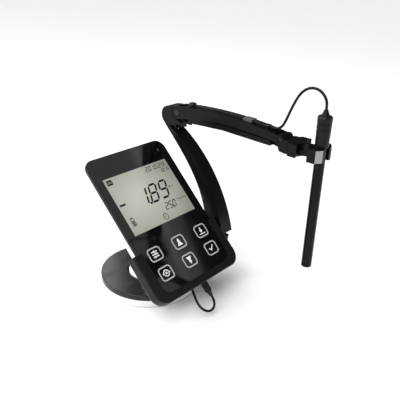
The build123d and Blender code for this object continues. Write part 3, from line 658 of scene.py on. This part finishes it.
def roundedLoop(u, v, width, height, corner, steps=8):
    # corner arcs joined by straight sides, counter-clockwise
    quarter = np.linspace(0, np.pi / 2, steps)
    centres = np.array([(1, 1), (-1, 1), (-1, -1), (1, -1)]) * (width / 2 - corner, height / 2 - corner)
    angles = quarter[None, :] + np.arange(4)[:, None] * np.pi / 2
    arcs = np.stack([np.cos(angles), np.sin(angles)], -1) * corner + centres[:, None, :]
    return arcs.reshape(-1, 2) + (u, v)


def keyRing(u, v):
    outer = roundedLoop(u, v, keySetup["width"], keySetup["height"], keySetup["corner"])
    stroke = keySetup["stroke"]
    inner = roundedLoop(u, v, keySetup["width"] - 2 * stroke, keySetup["height"] - 2 * stroke,
                        keySetup["corner"] - stroke)
    following = np.roll(np.arange(len(outer)), -1)
    return [np.array([inner[i], outer[i], outer[j], inner[j]]) for i, j in enumerate(following)]


keySymbolSetup = {
    # corners round the middle of each key; "u" and "d" double arrows, "l" list, "g" gear, "s" save, "t" tick
    "u": [[(0, 5.2), (2.6, 1.0), (-2.6, 1.0)], [(-1.0, 1.0), (1.0, 1.0), (4.4, -4.4), (-4.4, -4.4)]],
    "d": [[(0, -5.2), (2.6, -1.0), (-2.6, -1.0)], [(-1.0, -1.0), (1.0, -1.0), (4.4, 4.4), (-4.4, 4.4)]],
    "l": [boxPolygon(-4.5, v, 4.5, v + 1.3) for v in (-3.8, -0.65, 2.5)]
         + [boxPolygon(u, v - 0.9, u + 1.5, v + 2.2) for u, v in ((-2.6, -3.8), (1.2, -0.65), (-1.0, 2.5))],
    "g": ringPolygon(0, 0, 4.4, 3.2, 28) + ringPolygon(0, 0, 1.5, 0.3, 16)
         + [boxPolygon(-5.8, -0.6, -3.4, 0.6), boxPolygon(3.4, -0.6, 5.8, 0.6)],
    "s": [[(0, -2.6), (3.0, 0.8), (-3.0, 0.8)], boxPolygon(-0.9, 0.8, 0.9, 4.6),
          boxPolygon(-4.8, -4.6, 4.8, -3.4)],
    "t": [[(-4.4, 0.2), (-1.3, -3.4), (-1.1, -1.2), (-3.4, 1.3)],
          [(-1.3, -3.4), (4.6, 3.0), (3.5, 4.0), (-1.1, -1.2)]],
}


def keySymbols(symbols):
    marks = []
    for v, row in zip(keySetup["rows"], keySetup["symbols"]):
        for u, sign in zip(keySetup["columns"], row):
            marks += [np.array(outline) + (u, v) for outline in symbols[sign]]
    return marks


rings = [quad for u in keySetup["columns"] for v in keySetup["rows"] for quad in keyRing(u, v)]
flatPrint("keyOutlines", rings, keySetup["rise"], "meter", hatchMaterial)
flatPrint("keySymbols", keySymbols(keySymbolSetup), keySetup["rise"], "meter", printWhite)
print("keys drawn")


# ---- floor and light
lightSetup = {
    "bright": 0.42, "dim": 0.03, "dimSide": (0.709, 0.079, 0.70),
    "lamps": [
        # name, place, target, width, height, watts
        ("keyBox", (-1.3, -0.3, 1.6), (0, 0, 0.1), 1.0, 1.0, 11),
        ("backStrip", (-0.9, 1.4, 1.5), (0.05, -0.05, 0.2), 1.2, 0.35, 9),
        ("farCard", (0.69, 1.24, 0.915), (-0.02, 0.0, 0.0), 0.44, 0.5, 2.0),
    ],
    # cards that the leaning glass mirrors towards the viewer: u of the near edge, width, height, watts
    "cards": [("leftCard", 2.0, 0.62, 1.5, 2.2), ("streakCard", 30.0, 0.08, 1.5, 0.3)],
    "cardReach": 1.2, "cardTurn": -10, "cardAim": -20,
    "overhead": 2.75, "overheadSpread": 110, "overheadWay": (0.42, -0.34, -0.86),
    "fadeFrom": 0.25, "fadeTo": 0.85, "floorHalf": 6, "floorTone": (0.93, 0.93, 0.93),
}


def addLamp(name, turn, place, width, height, watts):
    data = bpy.data.lights.new(name, "AREA")
    data.shape = "RECTANGLE"
    data.size, data.size_y, data.energy = width, height, watts
    lamp = bpy.data.objects.new(name, data)
    lamp.matrix_world = Matrix.Translation(place) @ turn.to_4x4()
    lamp.visible_camera = False
    bpy.context.collection.objects.link(lamp)


def addMirroredCard(name, edge, width, height, watts):
    # found by reflecting the line of sight in the glass: in minus twice its part along the face's normal
    spot = Vector(onFace(edge, lightSetup["cardAim"], 0))
    outward = Vector(lean["outward"])
    sight = (spot - Vector(cameraSetup["place"])).normalized()
    mirrored = sight - 2 * sight.dot(outward) * outward
    upward = Vector(lean["upward"])
    upward = (upward - upward.dot(mirrored) * mirrored).normalized()
    side = mirrored.cross(upward).normalized()
    side = side if side.x > 0 else -side
    turn = Matrix((side, mirrored.cross(side), mirrored)).transposed()
    turn = turn @ Matrix.Rotation(math.radians(lightSetup["cardTurn"]), 3, "Z")
    place = spot + mirrored * lightSetup["cardReach"] - side * width / 2
    addLamp(name, turn, place, width, height, watts)


def makeWorld(setup):
    # even soft light that falls away towards one side, as a dark flag beside the set would make it
    world = bpy.data.worlds.new("studio")
    bpy.context.scene.world = world
    world.use_nodes = True
    tree = world.node_tree
    around = tree.nodes.new("ShaderNodeTexCoord")
    facing = tree.nodes.new("ShaderNodeVectorMath")
    facing.operation = "DOT_PRODUCT"
    facing.inputs[1].default_value = setup["dimSide"]
    tree.links.new(around.outputs["Generated"], facing.inputs[0])
    fall = tree.nodes.new("ShaderNodeMapRange")
    fall.inputs["From Min"].default_value = setup["fadeFrom"]
    fall.inputs["From Max"].default_value = setup["fadeTo"]
    fall.inputs["To Min"].default_value = setup["bright"]
    fall.inputs["To Max"].default_value = setup["dim"]
    tree.links.new(facing.outputs["Value"], fall.inputs["Value"])
    tree.nodes["Background"].inputs["Color"].default_value = (1, 1, 1, 1)
    tree.links.new(fall.outputs[0], tree.nodes["Background"].inputs["Strength"])


def makeFloor(setup):
    half = setup["floorHalf"]
    floorMesh = bpy.data.meshes.new("floor")
    floorMesh.from_pydata([(-half, -half, 0), (half, -half, 0), (half, half, 0), (-half, half, 0)],
                          [], [(0, 1, 2, 3)])
    floor = bpy.data.objects.new("floor", floorMesh)
    bpy.context.collection.objects.link(floor)
    floorMesh.materials.append(newMaterial("paleFloor", setup["floorTone"], 0.7, Specular_IOR_Level=0.1)[0])


def makeOverhead(setup):
    # a very wide sun straight above, a little from the left
    data = bpy.data.lights.new("overhead", "SUN")
    data.energy, data.angle = setup["overhead"], math.radians(setup["overheadSpread"])
    lamp = bpy.data.objects.new("overhead", data)
    lamp.rotation_euler = Vector(setup["overheadWay"]).to_track_quat("-Z", "Y").to_euler()
    bpy.context.collection.objects.link(lamp)


def makeStage(setup):
    makeFloor(setup)
    makeWorld(setup)
    for name, place, target, width, height, watts in setup["lamps"]:
        aim = (Vector(target) - Vector(place)).to_track_quat("-Z", "Y").to_matrix()
        addLamp(name, aim, Vector(place), width, height, watts)
    makeOverhead(setup)
    for card in setup["cards"]:
        addMirroredCard(*card)
    bpy.context.scene.view_settings.view_transform = "Standard"


makeStage(lightSetup)
print("stage ready")
